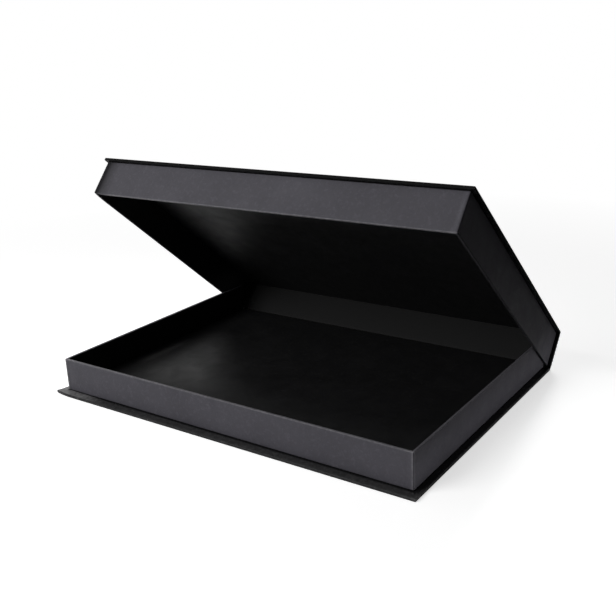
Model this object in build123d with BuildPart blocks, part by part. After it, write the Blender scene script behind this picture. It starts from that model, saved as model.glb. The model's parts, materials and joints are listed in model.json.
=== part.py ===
from build123d import *
import os
from collections import namedtuple
from math import cos, radians, sin, sqrt

os.makedirs("parts", exist_ok=True)

# A clamshell box for flat sheets. Its case is three boards in one covering: a base, a spine
# and a lid. The lower tray is glued to the base and the larger upper tray to the lid, and the
# spine closes the open back of both. All sizes are in millimetres. X runs along the hinges,
# the front is at -Y, and the origin is the middle of the base's underside.

# Sheets that the lower tray holds, and their play in it
sheet_length = 420.0
sheet_width = 297.0
sheet_play_x = 5.2
sheet_play_y = 9.6
stack_height = 34.2

# Boards and papers
cover_board = 2.5
tray_board = 2.0
floor_board = 2.0
covering = 0.25
lining = 0.25
case_turn_in = 15.0
lining_drop = 1.2

# Clearances between the pieces
nest_gap = 0.7
swing_gap = 2.5
headroom = 2.3
foot_gap = 0.3
spine_gap = 0.5
joint_room = 0.9
joint_gap = 0.8
crease_gap = 0.05
brim_setback = 0.25

# Ledge of the lid board around the upper tray
side_ledge = 3.7
front_ledge = 3.0

# Rounding of the covered edges
cover_edge_radius = 0.5
wall_edge_radius = 0.4
corner_radius = 1.2

# How far the lid stands open
open_angle = 40.5

# Thickness of a covered board, of a covered tray wall and of the lined spine
cover = cover_board + 2 * covering
wall = tray_board + 2 * covering
spine = covering + cover_board + lining

# Trays: half widths, front faces from the back crease, and wall heights above the covers
tray_back = spine + spine_gap
lower_half = (sheet_length + sheet_play_x) / 2 + lining + wall
lower_front = tray_back + sheet_width + sheet_play_y + lining + wall
lower_height = floor_board + lining + stack_height
upper_half = lower_half + nest_gap + lining + wall

# As the lid swings, the lower tray's front top edge passes behind the upper tray's front wall
swing_radius = sqrt(lower_front**2 + (cover + lower_height) ** 2)
upper_front = swing_radius + swing_gap + lining + wall

# Case boards, and the height of the closed box, which is the spine's height
case_width = 2 * (upper_half + side_ledge)
case_depth = upper_front + front_ledge
case_height = cover + lower_height + headroom + lining + floor_board + cover
upper_height = case_height - 2 * cover - foot_gap

# Frames of the three bodies: x along the crease, z from the covered face inwards. In the base
# and lid, y runs from the crease to the front edge, and in the spine from crease to crease.
opening = radians(open_angle)
back = case_depth / 2
base_frame = Plane(origin=(0, back, 0), x_dir=(-1, 0, 0), z_dir=(0, 0, 1))
spine_frame = Plane(
    origin=(0, back, 0), x_dir=(1, 0, 0), z_dir=(0, -cos(opening), sin(opening))
)
lid_frame = Plane(
    origin=(0, back + case_height * sin(opening), case_height * cos(opening)),
    x_dir=(1, 0, 0),
    z_dir=(0, -sin(opening), -cos(opening)),
)

# left is the sign of the frame's x on the box's left side
Tray = namedtuple("Tray", "name frame half front height left")
lower_tray = Tray("lower", base_frame, lower_half, lower_front, lower_height, 1)
upper_tray = Tray("upper", lid_frame, upper_half, upper_front, upper_height, -1)


def save(part, name):
    part.label = name
    export_step(part, f"parts/{name}.step")


def profile_plane(frame):
    """The plane across the crease, with the frame's y and z as its x and y."""
    return Plane(origin=frame.origin, x_dir=frame.y_dir, z_dir=frame.x_dir)


def cover_rectangle(inset):
    """A cover board's outline, taken in on all four sides."""
    with Locations((0, (joint_room + case_depth) / 2)):
        Rectangle(case_width - 2 * inset, case_depth - joint_room - 2 * inset)


def cover_board_part(frame):
    """Board of the base or the lid, pressed down under the covering's turn-ins."""
    with BuildPart() as board:
        with BuildSketch(frame.offset(covering)):
            cover_rectangle(covering)
        extrude(amount=cover_board)
        with BuildSketch(frame.offset(covering + cover_board)):
            cover_rectangle(case_turn_in)
        extrude(amount=covering)
    return board.part


def cover_covering_part(frame):
    """Covering of the base or the lid: wrapped over the edges, and on to the crease."""
    with BuildPart() as wrap:
        with BuildSketch(frame):
            cover_rectangle(0)
        extrude(amount=cover)
        fillet(wrap.edges(), cover_edge_radius)
        with BuildSketch(frame.offset(covering)):
            cover_rectangle(covering)
        extrude(amount=cover_board, mode=Mode.SUBTRACT)
        with BuildSketch(frame.offset(covering + cover_board)):
            cover_rectangle(case_turn_in)
        extrude(amount=covering, mode=Mode.SUBTRACT)
        with BuildSketch(profile_plane(frame)):
            with BuildLine():
                Polyline(
                    (crease_gap, 0),
                    (crease_gap + covering, covering),
                    (joint_room + cover_edge_radius, covering),
                    (joint_room + cover_edge_radius, 0),
                    close=True,
                )
            make_face()
        extrude(amount=case_width / 2 - cover_edge_radius, both=True)
    return wrap.part


def tray_rectangle(tray, inset, back_inset, mode=Mode.ADD):
    """A tray's outline, taken in at the sides and front, and at its open back."""
    front_y = tray.front - inset
    back_y = tray_back + back_inset
    with Locations((0, (front_y + back_y) / 2)):
        Rectangle(2 * (tray.half - inset), front_y - back_y, mode=mode)


def floor_board_part(tray):
    """Floor of a tray, between its walls."""
    with BuildPart() as floor:
        with BuildSketch(tray.frame.offset(cover)):
            tray_rectangle(tray, covering + tray_board, 0)
        extrude(amount=floor_board)
    return floor.part


def front_wall_part(tray):
    """Front wall board, with its two outer corners rounded under the covering."""
    with BuildPart() as board:
        with BuildSketch(tray.frame.offset(cover)) as outline:
            with Locations((0, tray.front - covering - tray_board / 2)):
                Rectangle(2 * (tray.half - covering), tray_board)
            fillet(outline.vertices().group_by(Axis.Y)[-1], corner_radius - covering)
        extrude(amount=tray.height - covering)
    return board.part


def side_wall_part(tray, side):
    """Side wall board, butted against the front wall."""
    front_y = tray.front - covering - tray_board
    back_y = tray_back + covering
    with BuildPart() as board:
        with BuildSketch(tray.frame.offset(cover)):
            with Locations((side * (tray.half - covering - tray_board / 2), (front_y + back_y) / 2)):
                Rectangle(tray_board, front_y - back_y)
        extrude(amount=tray.height - covering)
    return board.part


def tray_covering_part(tray):
    """Covering of a tray's walls: up the outside, over the edge and down to the floor."""
    with BuildPart() as wrap:
        with BuildSketch(tray.frame.offset(cover)) as outline:
            tray_rectangle(tray, 0, 0)
            fillet(outline.vertices().group_by(Axis.Y)[-1], corner_radius)
            tray_rectangle(tray, wall, -wall, mode=Mode.SUBTRACT)
        extrude(amount=tray.height)
        top = wrap.faces().sort_by(Axis(tray.frame.origin, tray.frame.z_dir))[-1]
        fillet(top.edges(), wall_edge_radius)
        with BuildSketch(tray.frame.offset(cover)) as core:
            tray_rectangle(tray, covering, covering)
            fillet(core.vertices().group_by(Axis.Y)[-1], corner_radius - covering)
            tray_rectangle(tray, covering + tray_board, -wall, mode=Mode.SUBTRACT)
        extrude(amount=tray.height - covering, mode=Mode.SUBTRACT)
        with BuildSketch(tray.frame.offset(cover)):
            tray_rectangle(tray, covering + tray_board, -wall)
        extrude(amount=floor_board, mode=Mode.SUBTRACT)
    return wrap.part


def wall_lining_part(tray):
    """Lining paper of a tray's walls, from the floor to just under the top edge."""
    with BuildPart() as strip:
        with BuildSketch(tray.frame.offset(cover + floor_board)):
            tray_rectangle(tray, wall, 0)
            tray_rectangle(tray, wall + lining, -wall, mode=Mode.SUBTRACT)
        extrude(amount=tray.height - floor_board - lining_drop)
    return strip.part


def floor_lining_part(tray):
    """Lining paper of a tray's floor."""
    with BuildPart() as sheet:
        with BuildSketch(tray.frame.offset(cover + floor_board)):
            tray_rectangle(tray, wall + lining, 0)
        extrude(amount=lining)
    return sheet.part


save(cover_board_part(base_frame), "base_board")
save(cover_covering_part(base_frame), "base_covering")
save(cover_board_part(lid_frame), "lid_board")
save(cover_covering_part(lid_frame), "lid_covering")

for tray in (lower_tray, upper_tray):
    save(floor_board_part(tray), f"{tray.name}_floor_board")
    save(front_wall_part(tray), f"{tray.name}_front_wall")
    save(side_wall_part(tray, tray.left), f"{tray.name}_left_wall")
    save(side_wall_part(tray, -tray.left), f"{tray.name}_right_wall")
    save(tray_covering_part(tray), f"{tray.name}_tray_covering")
    save(wall_lining_part(tray), f"{tray.name}_wall_lining")
    save(floor_lining_part(tray), f"{tray.name}_floor_lining")

# The spine board stands clear of both covers' faces by the joint gap, and its covering runs
# past it to both creases, with mitred ends so that it folds up against the covers.
spine_end = cover + joint_gap
spine_board_height = case_height - 2 * spine_end

with BuildPart() as spine_board:
    with BuildSketch(spine_frame.offset(covering)):
        with Locations((0, case_height / 2)):
            Rectangle(case_width - 2 * covering, spine_board_height)
    extrude(amount=cover_board)
spine_board.part.label = "spine_board"
export_step(spine_board.part, "parts/spine_board.step")

with BuildPart() as spine_covering:
    with BuildSketch(spine_frame):
        with Locations((0, case_height / 2)):
            Rectangle(case_width, spine_board_height)
    extrude(amount=spine)
    ends = spine_covering.edges().filter_by(Axis(spine_frame.origin, spine_frame.y_dir))
    fillet(ends, cover_edge_radius)
    with BuildSketch(spine_frame.offset(covering)):
        with Locations((0, case_height / 2)):
            Rectangle(case_width - 2 * covering, spine_board_height)
    extrude(amount=cover_board, mode=Mode.SUBTRACT)
    with BuildSketch(spine_frame.offset(covering + cover_board)):
        with Locations((0, case_height / 2)):
            Rectangle(case_width - 2 * case_turn_in, spine_board_height)
    extrude(amount=lining, mode=Mode.SUBTRACT)
    with BuildSketch(profile_plane(spine_frame)):
        with BuildLine():
            Polyline(
                (crease_gap, 0),
                (crease_gap + covering, covering),
                (case_height - crease_gap - covering, covering),
                (case_height - crease_gap, 0),
                close=True,
            )
        make_face()
    extrude(amount=case_width / 2 - cover_edge_radius, both=True)
spine_covering.part.label = "spine_covering"
export_step(spine_covering.part, "parts/spine_covering.step")

# The lining covers the spine board's inner face and edges between the covering's turn-ins,
# and a brim of it is glued to the covering at each joint.
brim_end = crease_gap + covering + brim_setback
with BuildPart() as spine_lining:
    with BuildSketch(profile_plane(spine_frame)):
        with BuildLine():
            Polyline(
                (brim_end, covering),
                (brim_end, covering + lining),
                (spine_end - lining, covering + lining),
                (spine_end - lining, spine),
                (case_height - spine_end + lining, spine),
                (case_height - spine_end + lining, covering + lining),
                (case_height - brim_end, covering + lining),
                (case_height - brim_end, covering),
                (case_height - spine_end, covering),
                (case_height - spine_end, spine - lining),
                (spine_end, spine - lining),
                (spine_end, covering),
                close=True,
            )
        make_face()
    extrude(amount=case_width / 2 - case_turn_in, both=True)
spine_lining.part.label = "spine_lining"
export_step(spine_lining.part, "parts/spine_lining.step")
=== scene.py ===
import json
import math

import bpy
from mathutils import Matrix, Vector


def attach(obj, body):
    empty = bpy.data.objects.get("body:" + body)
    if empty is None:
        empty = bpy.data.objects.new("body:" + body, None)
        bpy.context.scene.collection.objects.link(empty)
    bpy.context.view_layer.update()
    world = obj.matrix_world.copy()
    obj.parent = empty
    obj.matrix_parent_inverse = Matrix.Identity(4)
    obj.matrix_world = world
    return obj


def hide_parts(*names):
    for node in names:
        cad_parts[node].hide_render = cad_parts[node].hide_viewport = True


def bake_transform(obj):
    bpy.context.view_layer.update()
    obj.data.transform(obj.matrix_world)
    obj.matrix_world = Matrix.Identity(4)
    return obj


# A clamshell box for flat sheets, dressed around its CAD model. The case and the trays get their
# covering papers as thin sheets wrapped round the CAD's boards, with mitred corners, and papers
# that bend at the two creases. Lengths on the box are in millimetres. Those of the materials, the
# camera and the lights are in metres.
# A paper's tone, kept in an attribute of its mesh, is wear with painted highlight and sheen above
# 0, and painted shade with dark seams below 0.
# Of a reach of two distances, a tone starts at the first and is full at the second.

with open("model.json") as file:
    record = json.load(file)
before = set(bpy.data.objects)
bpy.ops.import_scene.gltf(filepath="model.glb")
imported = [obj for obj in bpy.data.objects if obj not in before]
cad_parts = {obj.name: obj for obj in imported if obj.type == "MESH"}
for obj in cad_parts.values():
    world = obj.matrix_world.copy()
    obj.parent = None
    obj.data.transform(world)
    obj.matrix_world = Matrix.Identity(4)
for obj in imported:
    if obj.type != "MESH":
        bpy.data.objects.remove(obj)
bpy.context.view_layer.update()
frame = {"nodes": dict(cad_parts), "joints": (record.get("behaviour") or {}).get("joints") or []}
scene = bpy.context.scene
nodes = frame["nodes"]

# Metres in a millimetre, thicknesses of the covering and lining papers, and a gap between layers
MM = 0.001
PAPER = 0.25
LINING = 0.2
HAIR = 0.02

# The case: its boards, and the rounding of its papers over them
cover_board = 2.5
board_bevel = 0.25
cover_edge_radius = 0.5
cover_corner_radius = 0.9
edge_steps = 4
corner_steps = 4

# Rows of the case's papers by their distance from the edges, and stations along each side
turn_in = 15.0
inner_rows = {
    "base": (turn_in, 11.1, 10.7, 10.3, 7.5, 7.1, 6.7, 3.0, 0.8),
    "lid": (turn_in, 6.0, 4.1, 3.7, 3.4, 3.0, 2.6, 0.8),
}
outer_rows = (0.8, 2.2, 6.0, 11.0, 20.0, 60.0)
side_stations = (4.0, 8.0, 16.0, 30.0, 45.0, 65.0)
spine_inner_columns = (turn_in, 6.0, 2.2, 0.8)
spine_outer_columns = (0.8, 2.2, 12.0, 60.0)
spine_end_row = 1.0

# The mitred fold at each corner of the turn-ins
mitre_start = 1.0
mitre_reach = 1.4
mitre_groove = 0.14
mitre_lap = 0.07

# The base's front left corner is bent up, and the lid tray's rim is pressed in where it meets it
bent_corner_lift = 1.9
bent_corner_reach = 22.0
rim_clearance = 0.12

# Tones of the case: the base's edges rubbed and lighter as painted highlight, its front ledge lit
# as painted sheen, its bent corner scuffed and lighter as painted reflection, and painted shade
# along the lid's edges and where the trays stand
edge_tone_reach = 1.3
cover_corner_rub = 0.3
cover_corner_reach = 10.0
# The base's edges are rubbed and lighter as painted highlight; the lid's are darkened as painted
# shade
edge_tone_of = {"base": 0.14, "lid": -0.8}
# The base's front ledge is lightened as painted sheen; its bent corner is scuffed and lighter as
# painted reflection
front_painted_sheen = 0.14
front_sheen_start = 0.6
scuff_and_sheen_reach = (62.0, 34.0)
# Painted shade on the case's inner face where a tray's foot stands on it
under_tray_shade = -1.6
under_tray_shade_reach = (0.5, -0.2)
spine_end_rub = 0.25

# The creases: (distance from the crease, depth) of their papers on each board, and how far from
# each end the paper is folded in, with its depth there
crease_ridge = 0.35
crease_steps = 6
joint_overlap = 0.5
board_side = ((0.9, 0.0), (1.4, 0.0))
spine_side = ((1.2, 0.0), (2.6, 0.0), (3.1, 0.14), (3.6, 0.16), (4.0, 0.08), (4.3, 0.0))
crease_sides = {"base": board_side, "spine": spine_side, "lid": board_side}
crease_ends = ((0.27, 0.55), (0.3, 0.3), (0.4, 0.1), (0.65, 0.0))
crease_rub = 0.4
crease_rub_spread = 0.3
crease_end_rub = 0.35
crease_end_depth = 0.2

# The linings. On the case their face lies three papers above the board
lining_level = cover_board + 3 * PAPER
strip_end = 0.3
turn_in_lap = 0.5
# The spine's lining is darkened as painted shade
spine_lining_shade = -0.85
floor_fold_shift = 0.04
floor_side_gap = 0.01
floor_drops = (1.9, 0.8)
floor_stations = (0.6, 6.0, 40.0, 120.0, 200.0)

# The trays' walls: the rounding of their papers and the folded foot
wall_edge_radius = 0.4
tray_corner_radius = 1.2
inner_corner_radius = 0.3
end_rounding = 0.35
foot_depth = 1.3
foot_height = 1.3
foot_steps = 6

# Rows up the walls, and stations along them from the back end, from the front and beside the
# rounded corners, where those inside lie a little further on
row_above_foot = 5.0
rows_below_top = (8.0, 1.4)
from_back = (4.0, 60.0)
from_front = (60.0, 20.0)
near_corner = (8.0, 8.4)
beside_corner = 2.0
front_stations = (7, 14, 22, 60)
inner_lead = 0.2
inner_lead_growth = 0.1

# The walls' boards inside their papers: their gap, and how their edges are taken off
board_gap = PAPER + HAIR
board_set_back = 0.3
board_foot = ((0.7, 1.1), (0.0, 2.2))
board_inner_foot = 0.1
board_rim = 0.2

# The side strips of the tray covering lap round the front corners, which sink a little at the top
lap_reach = 3.2
lap_step = 0.12
lap_edge = 0.08
lap_depth = 0.4
corner_sink = 0.12
corner_sink_depth = 0.4

# Tones of the trays: a top rubbed and lighter as painted highlight; a dark seam at each corner
# between two lines, of painted highlight on the lower tray and painted shade on the lid tray;
# painted shade at the foot, on the lid tray's side rims, beside its front corners and at its front
# left corner, where the lower one is made lighter
# The top edges are rubbed and lighter as painted highlight
top_wear_and_highlight = 0.45
top_tone_reach = 1.0
top_corner_wear_and_highlight = 0.4
top_corner_reach = 6
seam_tone = -0.9
seam_reach = tray_corner_radius * 0.45
# Lines beside each corner's seam: painted highlight on the lower tray, painted shade on the lid
# tray
beside_seam_tone = {"lower": 0.35, "upper": -0.1}
beside_seam_place = 1.2
beside_seam_reach = 1.0
# Painted shade at the trays' foot
foot_shade = 1.2
foot_shade_reach = 1.2
# Painted shade beside the lid tray's front corners, and along its side rims
lid_corner_shade = 0.7
lid_corner_start = 0.6
side_wall_tone_factor = 0.45
side_rim_shade = 0.8
side_rim_reach = (1.0, 0.4)
# Painted shade at the lid tray's front left corner; the lower tray's is made lighter
left_corner_shade = 1.2
left_corner_shade_reach = (20, 2)
left_corner_lightening = 0.12
left_corner_lightening_reach = 9

# The papers' noises: features per metre, detail, distortion
paper_noises = {
    "fibres": (1300, 3.0, 2.2),
    "grain": (3200, 2.0, 0.0),
    "flecks": (260, 4.0, 0.8),
    "clouds": (14, 3.0, 0.0),
    "handled": (45, 4.0, 0.4),
}

# How a paper varies: factors of its colour, with the shares they reach over a range of noise,
# the changes of its roughness, and the depths of its bumps
cloud_factors = (0.88, 1.12)
fleck_factor = 1.6
fleck_share = (0, 0.5, 0.52, 0.72)
fibre_factor = 0.5
fibre_share = (0, 0.55, 0.44, 0.70)
# Painted shade darkens a paper towards this factor of its colour; wear and painted highlight
# lighten it
darkening_factor = 0.1
most_darkening = 0.9
most_lightening = 0.9
uneven_rub = (0.5, 1.5)
sheen_change = (-0.07, 0.08)
handled_depth = 0.0005
handled_strength = 0.2
grain_share = 0.4
grain_strength = 0.8

# The camera of the photograph
camera_place = (0.51607, -0.72378, 0.38431)
camera_azimuth = 35.071
camera_pitch = 18.053
camera_roll = -2.367
camera_lens = 50.542
camera_sensor = 36.0
camera_shift = (0.0009, -0.0111)

# The stage: a dim surround, a pale backdrop low behind on the left, soft boxes at the front
# left, behind and low at the right, and a pale table top
surround_level = 0.06
backdrop_level = 1.0
backdrop_direction = (-0.74, 0.62, -0.25)
backdrop_edge = (0.2, 0.75)
lights = {
    "key": {
        "place": (-0.65, -1.35, 0.95), "aim": (0, -0.05, 0.08),
        "width": 1.0, "height": 1.0, "power": 20.5,
    },
    "back": {
        "place": (-0.35, 1.45, 1.1), "aim": (-0.03, -0.02, 0.3),
        "width": 0.6, "height": 0.6, "power": 1.15, "spread": 28,
    },
    "side": {
        "place": (0.70, -0.05, 0.03), "aim": (0.215, 0.0, 0.012),
        "width": 0.4, "height": 0.03, "power": 0.0165, "spread": 9,
    },
}
floor_size = 8.0
floor_colour = (0.82, 0.82, 0.82)
floor_lift = 0.63
floor_fade = (0.45, 1.1)
table_edge = (0.28, 0.42)
beyond_table = (0.02, 0.02, 0.02, 1)


# ---------------------------------------------------------------- frames of the three bodies

def body_frame(origin, y_dir, z_dir):
    """Matrix from a body's frame, in millimetres, to the row frame, in metres."""
    y, z = Vector(y_dir), Vector(z_dir)
    turn = Matrix((y.cross(z), y, z)).transposed().to_4x4()
    return Matrix.Translation(origin) @ turn @ Matrix.Scale(MM, 4)


creases = [Vector(joint["pos_m"]) for joint in frame["joints"]]
up_spine = (creases[1] - creases[0]).normalized()
behind_spine = Vector((0, up_spine.z, -up_spine.y))
spine_height = (creases[1] - creases[0]).length / MM
frames = {
    "base": body_frame(creases[0], (0, -1, 0), (0, 0, 1)),
    "spine": body_frame(creases[0], up_spine, -behind_spine),
    "lid": body_frame(creases[1], -behind_spine, -up_spine),
}


def local_box(node, body):
    """Lowest and highest corner of a CAD node in its body's frame."""
    inverse = frames[body].inverted()
    places = [inverse @ vertex.co for vertex in nodes[node].data.vertices]
    lowest = Vector([min(p[i] for p in places) for i in range(3)])
    highest = Vector([max(p[i] for p in places) for i in range(3)])
    return lowest, highest


def on_base(distance, depth):
    """A place on the base, by its distance from the lower crease."""
    return frames["base"] @ Vector((0, distance, depth))


def on_spine(distance, depth):
    """A place on the spine, by its distance from the lower crease."""
    return frames["spine"] @ Vector((0, distance, depth))


def down_spine(distance, depth):
    """A place on the spine, by its distance from the upper crease."""
    return frames["spine"] @ Vector((0, spine_height - distance, depth))


def on_lid(distance, depth):
    """A place on the lid, by its distance from the upper crease."""
    return frames["lid"] @ Vector((0, distance, depth))


# ---------------------------------------------------------------- helpers for shapes and tones

def within(value, start, end):
    """How far a value has come from start to end, from 0 to 1."""
    return min(1.0, max(0.0, (value - start) / (end - start)))


def fading(distance, reach):
    """1 at no distance, falling evenly to 0 at the reach."""
    return max(0.0, 1 - distance / reach)


def arc(centre, radius, start, end, steps=edge_steps):
    """Points of an arc in a plane, its angles in degrees."""
    angles = [math.radians(start + (end - start) * i / steps) for i in range(steps + 1)]
    return [(centre[0] + radius * math.cos(a), centre[1] + radius * math.sin(a)) for a in angles]


def strips(rows, columns, closed=False):
    """Quads between neighbouring rows of points, each row a loop or an open line."""
    count = columns if closed else columns - 1
    faces = []
    for row in range(rows - 1):
        for column in range(count):
            after = (column + 1) % columns
            here, there = row * columns, (row + 1) * columns
            faces.append((here + column, here + after, there + after, there + column))
    return faces


def end_caps(rows, columns):
    """Faces that close a swept profile at its first and last row."""
    last = (rows - 1) * columns
    return [tuple(range(columns)), tuple(range(last + columns - 1, last - 1, -1))]


def flipped(faces):
    """The same faces, seen from their other side."""
    return [tuple(reversed(face)) for face in faces]


def add_piece(name, points, faces, place, material, tones=None):
    """A smooth mesh from points in a frame's millimetres."""
    mesh = bpy.data.meshes.new(name)
    mesh.from_pydata([place @ Vector(p) for p in points], [], faces)
    mesh.polygons.foreach_set("use_smooth", [True] * len(mesh.polygons))
    # The tone attribute: wear and painted highlight above 0, painted shade below 0
    amounts = mesh.attributes.new("wear_and_painted_light", "FLOAT", "POINT")
    amounts.data.foreach_set("value", tones or [0.0] * len(points))
    mesh.materials.append(material)
    mesh.update()
    piece = bpy.data.objects.new(name, mesh)
    scene.collection.objects.link(piece)
    return piece


def thicken(piece, thickness=PAPER, even=True):
    """Gives a sheet its thickness, on the side away from its face normals."""
    solid = piece.modifiers.new("thickness", "SOLIDIFY")
    solid.thickness = thickness * MM
    solid.offset = -1
    solid.use_even_offset = even


# ---------------------------------------------------------------- helpers for materials

def new_material(name, colour, roughness, specular):
    """A material, its node tree and its shader."""
    material = bpy.data.materials.new(name)
    material.use_nodes = True
    shader = material.node_tree.nodes["Principled BSDF"]
    shader.inputs["Base Color"].default_value = (*colour, 1)
    shader.inputs["Roughness"].default_value = roughness
    shader.inputs["Specular IOR Level"].default_value = specular
    return material, material.node_tree, shader


def noise(tree, scale, detail, distortion=0.0):
    """Noise in the object's own space. The scale is in features per metre."""
    place = tree.nodes.new("ShaderNodeTexCoord")
    texture = tree.nodes.new("ShaderNodeTexNoise")
    texture.inputs["Scale"].default_value = scale
    texture.inputs["Detail"].default_value = detail
    texture.inputs["Distortion"].default_value = distortion
    tree.links.new(place.outputs["Object"], texture.inputs["Vector"])
    return texture.outputs["Fac"]


def spread(tree, value, low, high, start=0.3, end=0.7):
    """Maps a value to low at start and to high at end. A noise is mostly between 0.3 and 0.7."""
    remap = tree.nodes.new("ShaderNodeMapRange")
    remap.inputs["From Min"].default_value = start
    remap.inputs["From Max"].default_value = end
    remap.inputs["To Min"].default_value = low
    remap.inputs["To Max"].default_value = high
    tree.links.new(value, remap.inputs["Value"])
    return remap.outputs["Result"]


def combine(tree, operation, first, second):
    """A math node on two sockets."""
    node = tree.nodes.new("ShaderNodeMath")
    node.operation = operation
    tree.links.new(first, node.inputs[0])
    tree.links.new(second, node.inputs[1])
    return node.outputs["Value"]


def mix_colour(tree, factor, first, second):
    """A colour between two, each a tuple or a socket."""
    node = tree.nodes.new("ShaderNodeMix")
    node.data_type = "RGBA"
    for socket, value in ((node.inputs[6], first), (node.inputs[7], second)):
        if isinstance(value, tuple):
            socket.default_value = (*value, 1)
        else:
            tree.links.new(value, socket)
    tree.links.new(factor, node.inputs[0])
    return node.outputs[2]


def mix_shader(tree, factor, first, second):
    """A shader between two."""
    node = tree.nodes.new("ShaderNodeMixShader")
    tree.links.new(factor, node.inputs["Fac"])
    tree.links.new(first, node.inputs[1])
    tree.links.new(second, node.inputs[2])
    return node.outputs[0]


def white_shader(tree, kind, strength=1.0):
    """A white Background or Emission node."""
    node = tree.nodes.new(kind)
    node.inputs["Color"].default_value = (1, 1, 1, 1)
    node.inputs["Strength"].default_value = strength
    return node


def bump(tree, height, distance, strength=1.0, below=None):
    """A bump of that depth in metres, on top of another bump if one is given."""
    node = tree.nodes.new("ShaderNodeBump")
    node.inputs["Distance"].default_value = distance
    node.inputs["Strength"].default_value = strength
    tree.links.new(height, node.inputs["Height"])
    if below:
        tree.links.new(below, node.inputs["Normal"])
    return node.outputs["Normal"]


def scaled(colour, factor):
    """A colour made darker or lighter."""
    return tuple(min(1.0, c * factor) for c in colour)


# ---------------------------------------------------------------- materials

def paper_colour(tree, colour, fibres, flecks, clouds):
    """Dyed paper's colour: faint clouds, light flecks and dark hollows between its fibres."""
    cloud_colours = [scaled(colour, factor) for factor in cloud_factors]
    cloudy = mix_colour(tree, spread(tree, clouds, 0, 1), *cloud_colours)
    light_share = spread(tree, flecks, *fleck_share)
    flecked = mix_colour(tree, light_share, cloudy, scaled(colour, fleck_factor))
    dark_share = spread(tree, fibres, *fibre_share)
    return mix_colour(tree, dark_share, flecked, scaled(colour, fibre_factor))


def paper_material(name, colour, lightened_colour, roughness, specular, tooth):
    """Dyed paper: felted fibres, handled patches, and a tone that lightens it for wear and painted
    highlight and darkens it for painted shade and dark seams. tooth is the depth of its fibres in
    metres."""
    material, tree, shader = new_material(name, colour, roughness, specular)
    noises = {kind: noise(tree, *values) for kind, values in paper_noises.items()}
    fibres, flecks, handled = noises["fibres"], noises["flecks"], noises["handled"]
    dyed = paper_colour(tree, colour, fibres, flecks, noises["clouds"])

    # Tone above 0 lightens the paper for wear and painted highlight; below 0 it darkens and dulls
    # it as painted shade and dark seams
    attribute = tree.nodes.new("ShaderNodeAttribute")
    attribute.attribute_name = "wear_and_painted_light"
    tone = attribute.outputs["Fac"]
    uneven = combine(tree, "MULTIPLY", tone, spread(tree, flecks, *uneven_rub))
    lightening = spread(tree, uneven, 0, most_lightening, start=0, end=most_lightening)
    darkening = spread(tree, tone, most_darkening, 0, start=-1, end=0)
    shaded = mix_colour(tree, darkening, dyed, scaled(colour, darkening_factor))
    tree.links.new(mix_colour(tree, lightening, shaded, lightened_colour), shader.inputs["Base Color"])

    sheen = spread(tree, handled, *(roughness + change for change in sheen_change))
    tree.links.new(combine(tree, "MAXIMUM", sheen, darkening), shader.inputs["Roughness"])
    soft = bump(tree, handled, handled_depth, handled_strength)
    felt = bump(tree, fibres, tooth, below=soft)
    fine = bump(tree, noises["grain"], tooth * grain_share, grain_strength, felt)
    tree.links.new(fine, shader.inputs["Normal"])
    return material


def board_material(colour):
    """Grey recycled board, with flecks and pressed fibres."""
    material, tree, shader = new_material("greyboard", colour, roughness=0.9, specular=0.2)
    fibres = noise(tree, scale=700, detail=4.0, distortion=2.0)
    flecks = noise(tree, scale=320, detail=3.0)
    fibre_share = spread(tree, fibres, 0, 1)
    mottled = mix_colour(tree, fibre_share, scaled(colour, 0.8), scaled(colour, 1.2))
    fleck_share = spread(tree, flecks, 0, 0.7, start=0.62, end=0.7)
    spotted = mix_colour(tree, fleck_share, mottled, scaled(colour, 0.35))
    tree.links.new(spotted, shader.inputs["Base Color"])
    pressed = bump(tree, fibres, distance=0.00008, strength=0.8)
    tree.links.new(pressed, shader.inputs["Normal"])
    return material


case_paper = paper_material(
    "case_covering_paper",
    colour=(0.010, 0.010, 0.0105),
    lightened_colour=(0.19, 0.188, 0.19),
    roughness=0.24,
    specular=0.11,
    tooth=0.00003,
)
tray_paper = paper_material(
    "tray_covering_paper",
    colour=(0.072, 0.069, 0.082),
    lightened_colour=(0.24, 0.235, 0.25),
    roughness=0.58,
    specular=0.30,
    tooth=0.00009,
)
lining_paper = paper_material(
    "lining_paper",
    colour=(0.009, 0.009, 0.0095),
    lightened_colour=(0.05, 0.05, 0.05),
    roughness=0.45,
    specular=0.35,
    tooth=0.00006,
)
greyboard = board_material((0.30, 0.28, 0.25))


# ---------------------------------------------------------------- case: boards and their papers

def mitre_height(across):
    """Height of the mitred fold, from -1 to 1 across it: a groove in its middle, and a lap that
    stands up on one side and lies lower on the other."""
    if across == 0:
        return -mitre_groove
    return mitre_lap * across * 2 if abs(across) < 1 else 0.0


def corner_points(corner, come, go, inset, mitred):
    """Points round a corner of a rectangle, rounded at the board's edge and square further in.
    come and go are the ways along the two sides."""
    radius = max(cover_corner_radius - inset, 0)
    square = min(1, inset / cover_corner_radius)
    points = []
    for step in range(corner_steps + 1):
        across = 2 * step / corner_steps - 1
        turn = math.radians(90 * step / corner_steps)
        rounded = corner + radius * (go - come + come * math.sin(turn) - go * math.cos(turn))
        straight = corner + mitre_reach * ((come if across < 0 else go) * across)
        place = rounded.lerp(straight, square)
        points.append((place.x, place.y, mitre_height(across) if mitred else 0.0))
    return points


def side_points(corner, go, length):
    """Points along a rectangle's side, nearer to each other towards its two ends."""
    spacing = [d for d in side_stations if d < length / 2]
    places = [corner + go * d for d in spacing + [length - d for d in reversed(spacing)]]
    return [(place.x, place.y, 0.0) for place in places]


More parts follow.
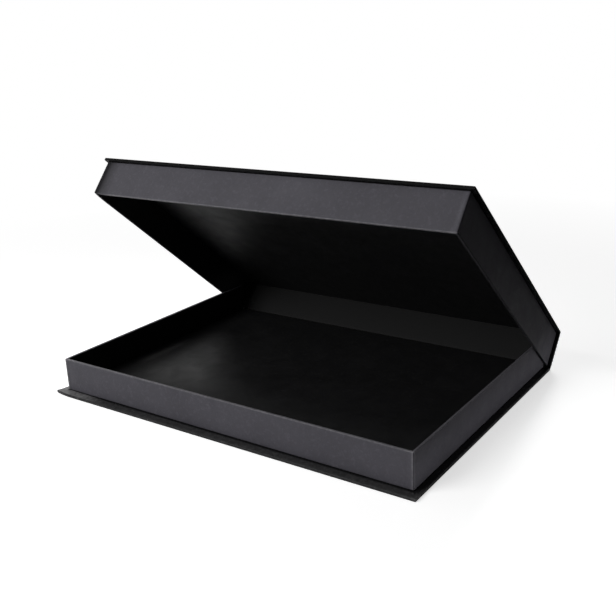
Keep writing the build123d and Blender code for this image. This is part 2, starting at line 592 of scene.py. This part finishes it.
def ring(low, high, inset, mitred):
    """Points round a rectangle taken in on all sides, counter-clockwise from its high corner."""
    near, far = (low.x + inset, low.y + inset), (high.x - inset, high.y - inset)
    corners = [Vector(c) for c in (far, (near[0], far[1]), near, (far[0], near[1]))]
    ways = [Vector(way) for way in ((0, 1), (-1, 0), (0, -1), (1, 0))]
    points = []
    for index, corner in enumerate(corners):
        after = (index + 1) % len(corners)
        points += corner_points(corner, ways[index], ways[after], inset, mitred)
        points += side_points(corner, ways[after], (corners[after] - corner).length)
    return points


def cover_profile(height, inner):
    """(inset, height) of a cover's paper, from its turned-in edge on the inner face round the
    board's edge to the outer face. inner gives the insets on the inner face."""
    r = cover_edge_radius
    over = arc((r, height - r), r, 90, 180)
    under = arc((r, r), r, 180, 270)
    turned_in = [(inset, height) for inset in inner]
    return turned_in + over + [(0.0, height / 2)] + under + [(i, 0.0) for i in outer_rows]


def bent_corner(x, y, corner):
    """How far a point of the base is lifted near its bent corner."""
    away = math.hypot(x - corner[0], y - corner[1])
    return bent_corner_lift * fading(away, bent_corner_reach) ** 2


def edge_tone(x, y, low, high, body):
    """Tone along a cover's edges: the base's are rubbed and lighter as painted highlight, and the
    lid's are darkened as painted shade.
    """
    aside, along = min(x - low.x, high.x - x), min(y - low.y, high.y - y)
    at_corner = cover_corner_rub * fading(math.hypot(aside, along), cover_corner_reach)
    return fading(min(aside, along), edge_tone_reach) * (at_corner + edge_tone_of[body])


def inner_tone(x, y, tray, corner):
    """Tone of a cover's inner face: lighter along the base's front as painted sheen, scuffed at
    its bent corner and lighter there as painted reflection, and darkened as painted shade where a
    tray's foot stands on it. tray is the tray's high corner."""
    lightening = 0.0
    if corner:
        away = math.hypot(x - corner[0], y - corner[1])
        lightening = front_painted_sheen * within(y, tray.y, tray.y + front_sheen_start)
        lightening = max(lightening, within(away, *scuff_and_sheen_reach))
    outside = max(abs(x) - tray.x, y - tray.y)
    # Painted shade where the tray's foot stands
    darkening = under_tray_shade * within(outside, *under_tray_shade_reach)
    return lightening * within(outside, 0.0, front_sheen_start) + darkening


def wrap_mesh(body, low, high, profile, corner, tray=None):
    """A form round a board: its points, its faces with their normals outwards, and its tones.
    Where a tray stands on it, it is a cover's paper, with the first third of its rows on the
    inner face and a mitred fold at each corner there."""
    points, tones = [], []
    for row, (inset, height) in enumerate(profile):
        inner = tray and row < len(profile) / 3
        for x, y, lap in ring(low, high, inset, inner and inset > mitre_start):
            lift = bent_corner(x, y, corner) if corner else 0.0
            points.append((x, y, low.z + height + lap + lift))
            tone = edge_tone(x, y, low, high, body)
            tones.append(tone + inner_tone(x, y, tray, corner) if inner else tone)
    columns = len(points) // len(profile)
    faces = strips(len(profile), columns, closed=True)
    faces.append(tuple(range(len(points) - columns, len(points))))
    return points, flipped(faces), tones


def cover_paper(body, tray_node, corner=None):
    """The covering of the base's or the lid's board, turned in on its inner face."""
    name, node = f"{body}_case_paper", f"{body}_covering"
    low, high = local_box(node, body)
    low.y = local_box(f"{body}_board", body)[0].y - PAPER
    tray = local_box(tray_node, body)[1]
    profile = cover_profile(high.z - low.z, inner_rows[body])
    points, faces, tones = wrap_mesh(body, low, high, profile, corner, tray)
    piece = add_piece(name, points, faces, frames[body], case_paper, tones)
    thicken(piece)
    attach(piece, body)
    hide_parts(node)


def spine_section():
    """(x, z) of the spine's paper, from one turned-in end round the outside to the other."""
    low, high = local_box("spine_covering", "spine")
    thick = high.z - low.z
    r = cover_edge_radius
    turned = arc((high.x - r, thick - r), r, 90, 0) + arc((high.x - r, r), r, 0, -90)
    half = [(high.x - d, thick) for d in spine_inner_columns] + turned
    half += [(high.x - d, 0.0) for d in spine_outer_columns]
    return half + [(0.0, 0.0)] + [(-x, z) for x, z in reversed(half)]


def spine_paper():
    """The covering of the spine board, turned in at its two ends."""
    end_x = local_box("spine_covering", "spine")[1].x
    low, high = local_box("spine_board", "spine")
    line = spine_section()
    start, end = low.y + joint_overlap, high.y - joint_overlap
    rows = [start, start + spine_end_row, (start + end) / 2, end - spine_end_row, end]
    points = [(x, y, z) for y in rows for x, z in line]
    tones = [spine_end_rub * fading(end_x - abs(x), edge_tone_reach) for x, _, _ in points]
    faces = strips(len(rows), len(line))
    place = frames["spine"]
    piece = add_piece("spine_case_paper", points, faces, place, case_paper, tones)
    thicken(piece)
    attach(piece, "spine")
    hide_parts("spine_covering")


def bent_board(corner):
    """The base board, bent up at one corner under its covering."""
    low, high = local_box("base_board", "base")
    profile = [(inset, cover_board) for inset in reversed(outer_rows)]
    profile += [(board_bevel, cover_board), (0.0, cover_board - board_bevel)]
    profile += [(0.0, board_bevel), (board_bevel, 0.0)] + [(inset, 0.0) for inset in outer_rows]
    points, faces, _ = wrap_mesh("base", low, high, profile, corner)
    faces.append(tuple(range(len(points) // len(profile))))
    piece = add_piece("base_greyboard", points, faces, frames["base"], greyboard)
    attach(piece, "base")
    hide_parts("base_board")


# ---------------------------------------------------------------- creases: papers that bend

def crease_line(bodies, first, second, extra):
    """Section of a crease's paper, from one board's edge to the other's, at an extra depth.
    first and second place a point on each body by its distance from the crease and its depth."""
    corner = [first(crease_ridge, extra), first(extra, extra), second(crease_ridge, extra)]
    bend = []
    for step in range(1, crease_steps):
        t = step / crease_steps
        shares = ((1 - t) ** 2, 2 * t * (1 - t), t * t)
        bend.append(sum((share * c for share, c in zip(shares, corner)), Vector((0, 0, 0))))
    before = [first(d, z + extra) for d, z in reversed(crease_sides[bodies[0]])]
    after = [second(d, z + extra) for d, z in crease_sides[bodies[1]]]
    return before + [corner[0]] + bend + [corner[2]] + after


def crease_tone(point, crease, extra):
    """A crease's paper is rubbed along its fold and where its ends are folded in."""
    fold = math.exp(-((point - crease) / MM).length_squared / crease_rub_spread)
    return crease_rub * fold + (crease_end_rub if extra > crease_end_depth else 0.0)


def crease_paper(name, bodies, crease, first, second):
    """The covering over a crease. It bends at the crease, and its two ends are folded in."""
    half = local_box("spine_covering", "spine")[1].x
    ends = [(half - from_end, extra) for from_end, extra in crease_ends]
    middle = [(-half / 2, 0.0), (0.0, 0.0), (half / 2, 0.0)]
    stations = [(-x, extra) for x, extra in ends] + middle + ends[::-1]
    points, tones = [], []
    for x, extra in stations:
        line = crease_line(bodies, first, second, extra)
        points += [(x * MM, p.y, p.z) for p in line]
        tones += [crease_tone(p, crease, extra) for p in line]
    faces = strips(len(stations), len(points) // len(stations))
    place = Matrix.Identity(4)
    piece = add_piece(name, points, faces, place, case_paper, tones)
    thicken(piece, even=False)
    across = second(crease_ridge, 0.0) - first(crease_ridge, 0.0)
    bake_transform(piece)


# ---------------------------------------------------------------- linings

def strip_paper(name, body, line, low_x, high_x, material, slot, tone=0.0):
    """A paper of constant section, given as (y, z), seen from inside the box."""
    middle = low_x + (high_x - low_x) / 2
    stations = [low_x, low_x + strip_end, middle, high_x - strip_end, high_x]
    points = [(x, y, z) for x in stations for y, z in line]
    faces = flipped(strips(len(stations), len(line)))
    piece = add_piece(name, points, faces, frames[body], material, [tone] * len(points))
    thicken(piece, LINING)
    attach(piece, body)
    return piece


def edge_linings():
    """The lining where it leaves the base and the lid, over the edges beside the two creases.
    Its section gives the distance from the crease and the height above the outside."""
    high_x = local_box("spine_lining", "spine")[1].x
    top = lining_level
    line = [(0.6, 0.6), (0.62, 1.2), (0.63, top - 0.9), (0.7, top - 0.45)]
    line += [(0.9, top - 0.15), (1.25, top), (3.3, top)]
    for body in ("base", "lid"):
        strip_paper(f"{body}_edge_lining", body, line, -high_x, high_x, lining_paper, "lining")


def over_spine(height):
    """Section of a paper that goes down into the crease beside each edge of the spine board, as
    distances from the lower crease and heights above the outside."""
    edge = local_box("spine_board", "spine")[0].y
    rise = [(0.6, 0.54), (edge - 0.8, 0.55), (edge - 0.42, 0.75), (edge - 0.28, 1.2)]
    rise += [(edge - 0.26, height - 0.8), (edge - 0.15, height - 0.3)]
    rise += [(edge + 0.1, height - 0.06), (edge + 0.5, height), (edge + 3, height)]
    return rise + [(spine_height - y, z) for y, z in reversed(rise)]


def spine_linings():
    """The spine's lining, and the covering's turned-in ends beside it."""
    high_x = local_box("spine_lining", "spine")[1].x
    outer_x = local_box("spine_board", "spine")[1].x
    name, line = "spine_lining_paper", over_spine(lining_level)
    # The spine's lining gets painted shade
    finish = (lining_paper, "lining", spine_lining_shade)
    lining = strip_paper(name, "spine", line, -high_x, high_x, *finish)
    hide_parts("spine_lining")
    line = over_spine(lining_level - PAPER + HAIR)
    inner_x = high_x - turn_in_lap
    for name, low, high in (("left", -outer_x, -inner_x), ("right", inner_x, outer_x)):
        finish = (case_paper, "case_covering")
        strip_paper(f"spine_turn_in_{name}", "spine", line, low, high, *finish)


def floor_paper(side, body):
    """The lining of a tray's floor, folded down over the floor board's back edge."""
    name, node = f"{side}_floor_paper", f"{side}_floor_lining"
    low, high = local_box(node, body)
    back = low.y + floor_fold_shift
    down = [(back - PAPER, low.z - drop) for drop in floor_drops]
    fold = arc((back, low.z), PAPER, 180, 90)
    flat = [(low.y + distance, high.z) for distance in floor_stations] + [(high.y, high.z)]
    ends = (low.x + floor_side_gap, high.x - floor_side_gap)
    paper = strip_paper(name, body, down + fold + flat, *ends, lining_paper, "lining")
    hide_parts(node)


# ---------------------------------------------------------------- trays: papers over the walls

def side_pairs(half, front, back, wall):
    """A side wall's pairs of outer and inner plan points, from its rounded back end on. Each has
    how far the paper stands proud of the wall there, and how far its end is drawn in."""
    side = []
    for turn in (math.pi / 2, math.pi / 4, 0.0):
        y = back + end_rounding * (1 - math.sin(turn))
        side.append((y, y, end_rounding * (1 - math.cos(turn))))
    along = [back + d for d in from_back] + [front / 2] + [front - d for d in from_front]
    side += [(y, y, 0.0) for y in along]
    side.append((front - near_corner[0], front - near_corner[1], 0.0))
    run = front - tray_corner_radius
    inner_run = front - wall - inner_corner_radius
    side.append((run - beside_corner, inner_run - beside_corner, 0.0))
    return [(Vector((half, outer_y)), Vector((half - wall, inner_y)), 0.0, drawn)
            for outer_y, inner_y, drawn in side]


def front_pairs(half, front, wall):
    """The pairs round a front corner and along the front wall to near its middle."""
    run = front - tray_corner_radius
    inner_run = front - wall - inner_corner_radius
    inner_centre = (half - wall - inner_corner_radius, inner_run)
    outer = arc((half - tray_corner_radius, run), tray_corner_radius, 0, 90, corner_steps)
    inner = arc(inner_centre, inner_corner_radius, 0, 90, corner_steps)
    pairs = []
    for step, (o, i) in enumerate(zip(outer, inner)):
        pairs.append((Vector(o), Vector(i), lap_step * step / corner_steps, 0.0))
    along = [(lap_reach, lap_step), (lap_reach + lap_edge, 0)] + [(d, 0) for d in front_stations]
    for distance, proud in along:
        past_corner = wall + inner_corner_radius + inner_lead + distance * inner_lead_growth
        inner_x = half - max(distance, past_corner)
        outer_point = Vector((half - distance, front))
        pairs.append((outer_point, Vector((inner_x, front - wall)), proud, 0.0))
    return pairs


def tray_stations(half, front, back, wall):
    """The pairs along a tray's three walls, from one back end round the front to the other."""
    pairs = side_pairs(half, front, back, wall) + front_pairs(half, front, wall)
    middle = [(Vector((0, front)), Vector((0, front - wall)), 0.0, 0.0)]
    mirrored = [(Vector((-o.x, o.y)), Vector((-i.x, i.y)), p, d) for o, i, p, d in reversed(pairs)]
    return pairs + middle + mirrored


def paper_profile(foot, top, floor, wall):
    """(inset, height) of the covering from under the outer foot over the edge to the floor."""
    r = wall_edge_radius
    quarter = arc((0, 0), 1, 270, 180, foot_steps)
    turned = [(foot_depth * (1 + x), foot + foot_height * (1 + z)) for x, z in quarter]
    outer = [(0.0, foot + row_above_foot)] + [(0.0, top - below) for below in rows_below_top]
    over = arc((r, top - r), r, 180, 90) + [(wall / 2, top)] + arc((wall - r, top - r), r, 90, 0)
    inner = [(wall, top - below) for below in reversed(rows_below_top)] + [(wall, floor)]
    return turned + outer + over + inner


def board_profile(foot, top, wall):
    """(inset, height) round the board of a wall, just inside its papers."""
    low, high, near, far = foot + board_gap, top - board_gap, board_gap, wall - board_gap
    outer = [(near + inset, foot + height) for inset, height in board_foot]
    rim = [(near, high - board_rim), (near + board_rim, high)]
    rim += [(far - board_rim, high), (far, high - board_rim)]
    return [(far - board_inner_foot, low)] + outer + rim + [(far, low + board_inner_foot)]


def swept(profile, stations, wall):
    """Points of a profile carried along a tray's walls. The ends are drawn in."""
    foot = min(z for _, z in profile)
    top = max(z for _, z in profile)
    points = []
    for outer, inner, proud, drawn in stations:
        for inset, z in profile:
            share = 0.5 + (inset / wall - 0.5) * (1 - 2 * drawn / wall)
            place = outer.lerp(inner, share)
            out = proud * fading(inset, lap_depth)
            points.append((place.x, place.y + out, z - drawn * (z - foot) / (top - foot)))
    return points


def press_rim(points, foot, top):
    """Lowers the lid tray's rim over the base's bent corner, so that the box still shuts."""
    low, high = local_box("lid_covering", "lid")
    pressed = []
    for x, y, z in points:
        drop = max(0.0, bent_corner(x, y, (low.x, high.y)) - rim_clearance)
        pressed.append((x, y, z - drop * (z - foot) / (top - foot)))
    return pressed


def wall_points(side, profile, stations, wall, low, high):
    """Points of a wall's paper or board, its rim pressed in on the lid's tray."""
    points = swept(profile, stations, wall)
    return press_rim(points, low.z, high.z) if side == "upper" else points


def tray_tone(side, above_foot, below_top, to_corner, outside):
    """A tray's covering is rubbed along its top and corners, lighter there also as painted
    highlight, and darkened as painted shade at its foot. A fine dark seam runs down each corner,
    between two lines of painted highlight on the lower tray and painted shade on the lid tray."""
    at_corner = top_corner_wear_and_highlight * fading(to_corner, top_corner_reach)
    wear_and_painted_light = fading(below_top, top_tone_reach) * (top_wear_and_highlight + at_corner)
    if outside:
        beside = beside_seam_tone[side] * fading(abs(to_corner - beside_seam_place), beside_seam_reach)
        seam = seam_tone if to_corner < seam_reach else beside
        wear_and_painted_light += seam - foot_shade * fading(above_foot, foot_shade_reach)
    return wear_and_painted_light


def left_corner_tone(side, to_corner):
    """The lid tray's front left corner is darkened as painted shade, and the lower tray's is made
    lighter.
    """
    if side == "upper":
        return -left_corner_shade * within(to_corner, *left_corner_shade_reach)
    return left_corner_lightening * fading(to_corner, left_corner_lightening_reach)


def side_wall_tone(side, tone, below_top):
    """The lower tray's side walls take a smaller share of their tone than the front. The lid
    tray's keep only their darkening, with painted shade along the rim.
    """
    if side == "upper":
        return min(tone, 0.0) - side_rim_shade * within(below_top, *side_rim_reach)
    return tone * side_wall_tone_factor


def place_tone(side, tone, behind_front, below_top, to_corner, on_left):
    """Tones at some places of the walls, added to their own: painted shade beside the lid tray's
    front corners and at its front left corner, a lighter front left corner on the lower tray, and
    the side walls' share of their tone.
    """
    # Painted shade beside the lid tray's front corners
    if side == "upper" and lid_corner_start < behind_front <= tray_corner_radius:
        tone -= lid_corner_shade
    if on_left and behind_front < tray_corner_radius:
        tone += left_corner_tone(side, to_corner)
    if behind_front > tray_corner_radius:
        tone = side_wall_tone(side, tone, below_top)
    return tone


def tray_box(side, body):
    """A tray's lowest and highest corners and the thickness of its walls with their papers."""
    low, high = local_box(f"{side}_tray_covering", body)
    return low, high, high.x - local_box(f"{side}_wall_lining", body)[1].x


def tray_covering(side, body):
    """A tray's covering over its three walls, folded to a mitre at each front corner."""
    low, high, wall = tray_box(side, body)
    floor = local_box(f"{side}_floor_lining", body)[0].z
    stations = tray_stations(high.x, high.y, low.y, wall)
    profile = paper_profile(low.z, high.z, floor, wall)
    points, tones = [], []
    for index, (x, y, z) in enumerate(wall_points(side, profile, stations, wall, low, high)):
        outer = stations[index // len(profile)][0]
        outside = profile[index % len(profile)][0] < wall / 2
        to_corner = (outer - Vector((math.copysign(high.x, outer.x), high.y))).length
        on_left = (frames[body] @ outer.to_3d()).x < 0
        below_top = high.z - z
        wear_and_painted_light = tray_tone(side, z - low.z, below_top, to_corner, outside)
        tones.append(place_tone(side, wear_and_painted_light, high.y - outer.y, below_top, to_corner, on_left))
        sunk = below_top < corner_sink_depth and to_corner < seam_reach
        points.append((x, y, z - corner_sink if sunk else z))
    rows, columns = len(stations), len(profile)
    faces = flipped(strips(rows, columns)) + end_caps(rows, columns)
    name, place = f"{side}_tray_paper", frames[body]
    paper = add_piece(name, points, faces, place, tray_paper, tones)
    thicken(paper)
    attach(paper, body)
    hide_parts(f"{side}_tray_covering")


def wall_boards(side, body):
    """The boards of a tray's walls, inside their papers."""
    low, high, wall = tray_box(side, body)
    stations = tray_stations(high.x, high.y, low.y + board_set_back, wall)
    profile = board_profile(low.z, high.z, wall)
    points = wall_points(side, profile, stations, wall, low, high)
    rows, columns = len(stations), len(profile)
    faces = flipped(strips(rows, columns, closed=True)) + end_caps(rows, columns)
    name = f"{side}_wall_boards"
    boards = add_piece(name, points, faces, frames[body], greyboard)
    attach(boards, body)
    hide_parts(*(f"{side}_{place}_wall" for place in ("front", "left", "right")))


# ---------------------------------------------------------------- camera, lights and floor

def add_camera():
    """The camera stands at the front right, above the lid's front edge."""
    data = bpy.data.cameras.new("camera")
    data.lens = camera_lens
    data.sensor_width = camera_sensor
    data.shift_x, data.shift_y = camera_shift
    camera = bpy.data.objects.new("camera", data)
    scene.collection.objects.link(camera)
    azimuth, pitch, roll = map(math.radians, (camera_azimuth, camera_pitch, camera_roll))
    turn = (
        Matrix.Rotation(azimuth, 4, "Z")
        @ Matrix.Rotation(math.pi / 2 - pitch, 4, "X")
        @ Matrix.Rotation(roll, 4, "Z")
    )
    camera.matrix_world = Matrix.Translation(camera_place) @ turn
    scene.camera = camera


def area_light(name, place, aim, width, height, power, spread=180):
    """A soft box, aimed at a point of the object. The spread is in degrees."""
    data = bpy.data.lights.new(name, "AREA")
    data.shape = "RECTANGLE"
    data.size = width
    data.size_y = height
    data.energy = power
    data.spread = math.radians(spread)
    light = bpy.data.objects.new(name, data)
    scene.collection.objects.link(light)
    light.location = place
    light.rotation_mode = "QUATERNION"
    light.rotation_quaternion = (Vector(aim) - Vector(place)).to_track_quat("-Z", "Y")


def add_world():
    """A dim surround with a pale backdrop low behind on the left. The camera sees only white."""
    world = bpy.data.worlds.new("surround")
    scene.world = world
    world.use_nodes = True
    tree = world.node_tree
    tree.nodes.clear()
    direction = tree.nodes.new("ShaderNodeTexCoord")
    towards = tree.nodes.new("ShaderNodeVectorMath")
    towards.operation = "DOT_PRODUCT"
    towards.inputs[1].default_value = backdrop_direction
    tree.links.new(direction.outputs["Generated"], towards.inputs[0])
    levels = (surround_level, backdrop_level)
    strength = spread(tree, towards.outputs["Value"], *levels, *backdrop_edge)
    light = white_shader(tree, "ShaderNodeBackground")
    tree.links.new(strength, light.inputs["Strength"])
    white = white_shader(tree, "ShaderNodeBackground")
    path = tree.nodes.new("ShaderNodeLightPath")
    out = tree.nodes.new("ShaderNodeOutputWorld")
    seen = mix_shader(tree, path.outputs["Is Camera Ray"], light.outputs[0], white.outputs[0])
    tree.links.new(seen, out.inputs["Surface"])


def floor_shown(tree, shader, place):
    """The floor as the camera sees it: pale, lit up a little, fading to the white surround."""
    length = tree.nodes.new("ShaderNodeVectorMath")
    length.operation = "LENGTH"
    tree.links.new(place, length.inputs[0])
    lift = white_shader(tree, "ShaderNodeEmission", floor_lift)
    lifted = tree.nodes.new("ShaderNodeAddShader")
    tree.links.new(shader.outputs[0], lifted.inputs[0])
    tree.links.new(lift.outputs[0], lifted.inputs[1])
    white = white_shader(tree, "ShaderNodeEmission")
    fade = spread(tree, length.outputs["Value"], 0, 1, *floor_fade)
    return mix_shader(tree, fade, lifted.outputs[0], white.outputs[0])


def floor_lighting(tree, shader, place):
    """The floor as it lights the box: a table top that ends a little way to the right."""
    split = tree.nodes.new("ShaderNodeSeparateXYZ")
    tree.links.new(place, split.inputs[0])
    dark = tree.nodes.new("ShaderNodeBsdfDiffuse")
    dark.inputs["Color"].default_value = beyond_table
    beyond = spread(tree, split.outputs["X"], 0, 1, *table_edge)
    return mix_shader(tree, beyond, shader.outputs[0], dark.outputs[0])


def add_floor():
    """A pale floor that keeps the box's shadow."""
    half = floor_size / 2
    mesh = bpy.data.meshes.new("floor")
    corners = [(-half, -half, 0), (half, -half, 0), (half, half, 0), (-half, half, 0)]
    mesh.from_pydata(corners, [], [(0, 1, 2, 3)])
    floor = bpy.data.objects.new("floor", mesh)
    scene.collection.objects.link(floor)
    material, tree, shader = new_material("pale_floor", floor_colour, roughness=0.9, specular=0.1)
    mesh.materials.append(material)
    place = tree.nodes.new("ShaderNodeTexCoord").outputs["Object"]
    shown = floor_shown(tree, shader, place)
    lighting = floor_lighting(tree, shader, place)
    path = tree.nodes.new("ShaderNodeLightPath")
    seen = mix_shader(tree, path.outputs["Is Camera Ray"], lighting, shown)
    tree.links.new(seen, tree.nodes["Material Output"].inputs["Surface"])


# ---------------------------------------------------------------- the box on its stage

bent_at = local_box("base_covering", "base")[1].xy
cover_paper("base", "lower_tray_covering", bent_at)
cover_paper("lid", "upper_tray_covering")
spine_paper()
bent_board(bent_at)
crease_paper("lower_crease_paper", ("base", "spine"), creases[0], on_base, on_spine)
crease_paper("upper_crease_paper", ("spine", "lid"), creases[1], down_spine, on_lid)
edge_linings()
spine_linings()
for side, body in (("lower", "base"), ("upper", "lid")):
    tray_covering(side, body)
    wall_boards(side, body)
    floor_paper(side, body)

for name, node in nodes.items():
    node.data.materials.clear()
    node.data.materials.append(lining_paper if "lining" in name else greyboard)

add_camera()
add_world()
add_floor()
for name, light in lights.items():
    area_light(name, **light)
scene.view_settings.view_transform = "Standard"
